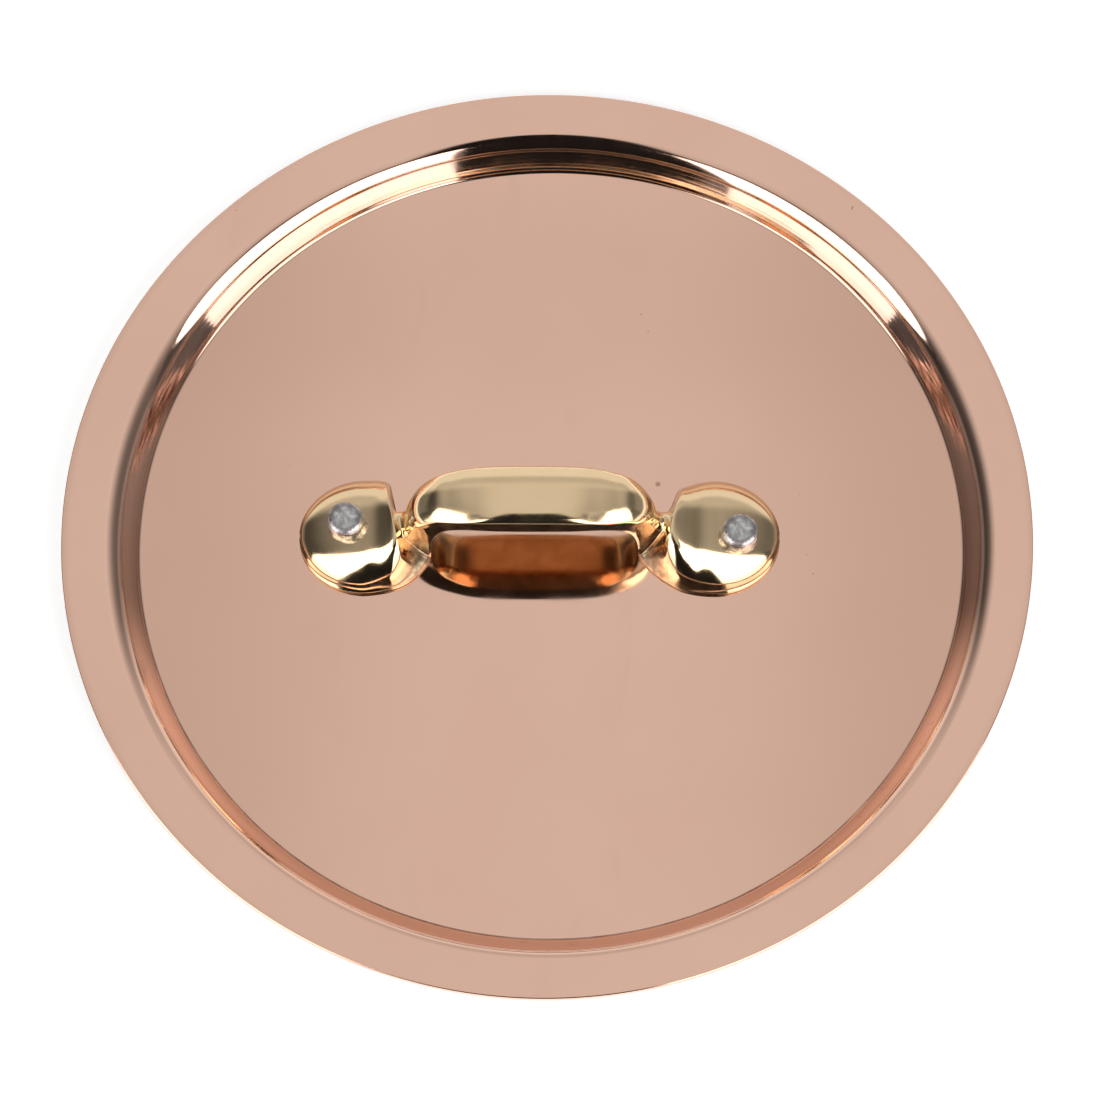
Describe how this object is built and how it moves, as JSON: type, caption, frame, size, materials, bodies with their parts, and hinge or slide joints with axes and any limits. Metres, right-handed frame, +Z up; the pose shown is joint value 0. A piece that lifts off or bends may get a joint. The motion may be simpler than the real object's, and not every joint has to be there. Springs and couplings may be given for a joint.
{
  "type": "saucepan lid",
  "caption": "Round polished copper saucepan lid with a sunken centre, a flat flange that rests on the pan's rim and a riveted brass bridge handle.",
  "frame": {"origin": "under the middle of the lid's rim, level with the undersides of the two rivet heads that the lid stands on", "axes": "+Z up out of the lid towards the handle, +X along the handle, +Y towards the far side of the lid"},
  "size_m": [0.174, 0.174, 0.023],
  "materials": {
    "copper": "mirror-polished copper sheet",
    "lining": "satin stainless steel lining on the underside",
    "brass": "polished cast brass",
    "rivet_metal": "grey satin rivet metal, hammered on top"
  },
  "bodies": {
    "root": {"lid_shell": "copper", "lid_lining": "lining", "handle": "brass", "rivet_left": "rivet_metal", "rivet_right": "rivet_metal"}
  },
  "joints": []
}
